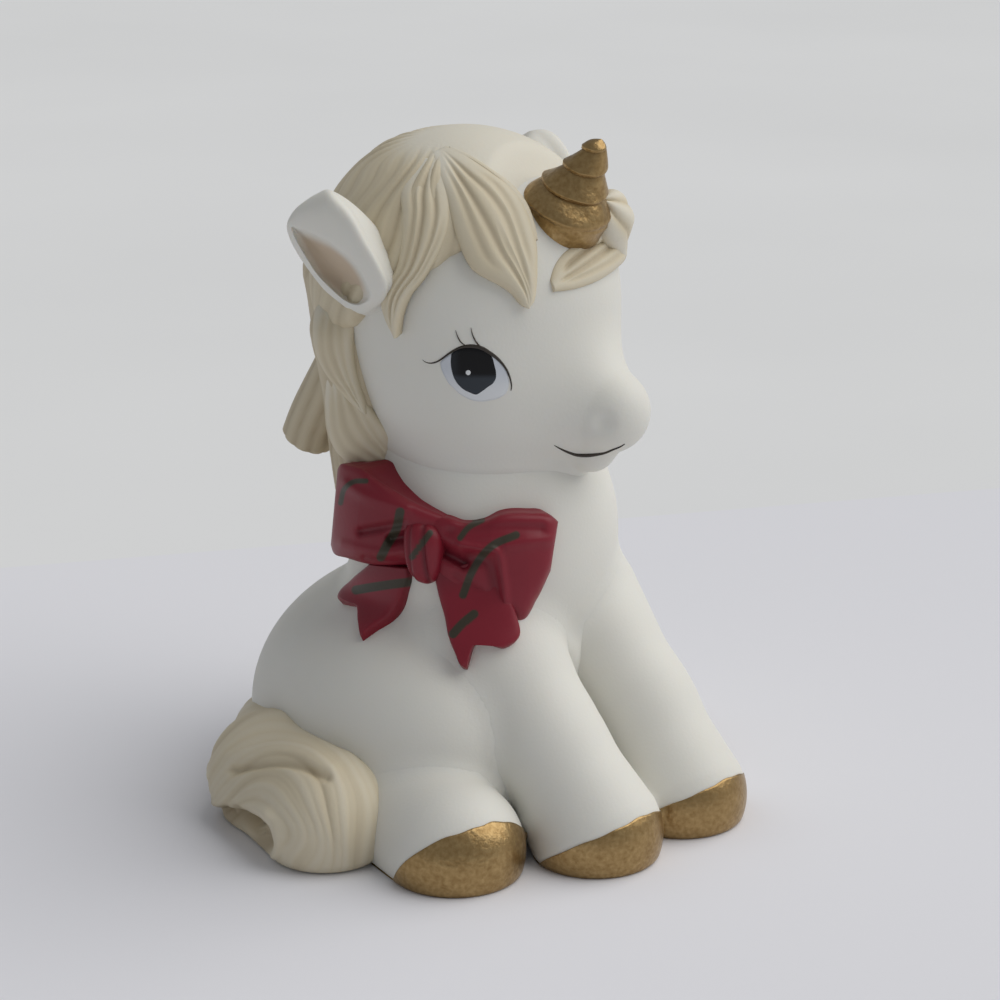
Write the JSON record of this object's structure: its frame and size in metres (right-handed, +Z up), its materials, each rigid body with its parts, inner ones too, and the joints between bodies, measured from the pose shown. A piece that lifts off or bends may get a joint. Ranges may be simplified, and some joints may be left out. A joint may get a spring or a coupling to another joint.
{
  "type": "unicorn figurine",
  "caption": "Sitting unicorn foal in matt porcelain with modelled hair, gilt horn and hooves, and a ribbon bow at its neck; stands free on a flat base.",
  "frame": {"origin": "centre of the flat face that the figurine sits on, under the body", "axes": "+Z up, the foal faces -Y, its right side is towards -X"},
  "size_m": [0.0676, 0.0674, 0.0866],
  "materials": {
    "bisque": "matt unglazed porcelain, warm white with faint grey in the hollows",
    "hair_wash": "matt porcelain with a thin beige wash that gathers in the strand grooves",
    "gilding": "brushed-on bronze gold lustre, grainy and half gloss",
    "bow_paint": "satin crimson enamel with thin dark green stripes"
  },
  "bodies": {
    "root": {"body_shell": "bisque", "head_shell": "bisque", "right_foreleg": "bisque", "left_foreleg": "bisque", "right_hind_foot": "bisque", "left_hind_foot": "bisque", "right_fore_hoof": "gilding", "left_fore_hoof": "gilding", "right_hind_hoof": "gilding", "left_hind_hoof": "gilding", "tail": "hair_wash", "mane": "hair_wash", "mane_flick": "hair_wash", "mane_right_lock": "hair_wash", "mane_left_lock": "hair_wash", "hair_cap": "hair_wash", "forelock_tip": "hair_wash", "forelock_side": "hair_wash", "forelock_top": "hair_wash", "forelock_left": "hair_wash", "horn_curl": "hair_wash", "right_ear": "bisque", "left_ear": "bisque", "horn": "gilding", "bow_knot": "bow_paint", "bow_back_loop": "bow_paint", "bow_front_loop": "bow_paint", "bow_back_tail": "bow_paint", "bow_front_tail": "bow_paint"}
  },
  "joints": []
}
